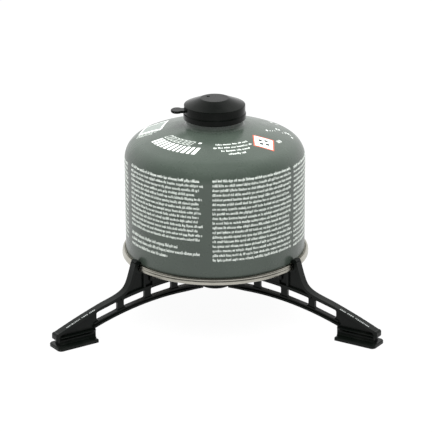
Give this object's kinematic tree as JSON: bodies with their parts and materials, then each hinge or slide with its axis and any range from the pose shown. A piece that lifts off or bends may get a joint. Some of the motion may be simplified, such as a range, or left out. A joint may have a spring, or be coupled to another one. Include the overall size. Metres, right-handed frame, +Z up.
{
  "type": "gas canister on folding stand",
  "caption": "Screw-valve gas canister with domed top and push-fit valve cap, held by its rim in the hooks of a folding stand with windowed legs and flat feet.",
  "frame": {"origin": "on the floor, under the canister's axis and the stand's hub", "axes": "+Z up along the canister's axis, +Y along the rear leg, -Y towards the open side between the front legs"},
  "size_m": [0.1918, 0.1763, 0.131],
  "materials": {
    "shell_paint": "satin",
    "tinplate": "satin",
    "cup_steel": "satin",
    "seal_rubber": "matte",
    "valve_plastic": "satin",
    "spring_steel": "bright",
    "cap_plastic": "satin",
    "leg_plastic": "satin",
    "rivet_steel": "satin"
  },
  "bodies": {
    "stand": {"leg_rear": "leg_plastic", "hub_rivet": "rivet_steel", "hub_washers": "rivet_steel"},
    "front_left_leg": {"leg_front_left": "leg_plastic"},
    "front_right_leg": {"leg_front_right": "leg_plastic"},
    "canister": {"canister_shell": "shell_paint", "canister_base": "tinplate", "valve_mounting_cup": "cup_steel", "valve_cup_gasket": "seal_rubber", "valve_stem_seal": "seal_rubber", "valve_housing": "valve_plastic", "valve_spring": "spring_steel"},
    "stem": {"valve_stem": "valve_plastic"},
    "cap": {"valve_cap": "cap_plastic"}
  },
  "joints": [
    {"name": "front_left_fold", "type": "hinge", "parent": "stand", "child": "front_left_leg", "pos_m": [0, 0, 0.0171], "axis": [0, 0, 1], "range_deg": [-108, 0]},
    {"name": "front_right_fold", "type": "hinge", "parent": "stand", "child": "front_right_leg", "pos_m": [0, 0, 0.0201], "axis": [0, 0, 1], "range_deg": [0, 108]},
    {"name": "canister_turn", "type": "hinge", "parent": "stand", "child": "canister", "pos_m": [0, 0, 0.0358], "axis": [0, 0, 1], "continuous": true},
    {"name": "stem_press", "type": "slide", "parent": "canister", "child": "stem", "axis": [0, 0, -1], "range_m": [0, 0.0018], "stiffness_N_per_m": 1500, "springref_m": -0.002, "deforming": ["valve_spring"]},
    {"name": "cap_lift", "type": "slide", "parent": "canister", "child": "cap", "axis": [0, 0, 1], "range_m": [0, 0.04]}
  ]
}
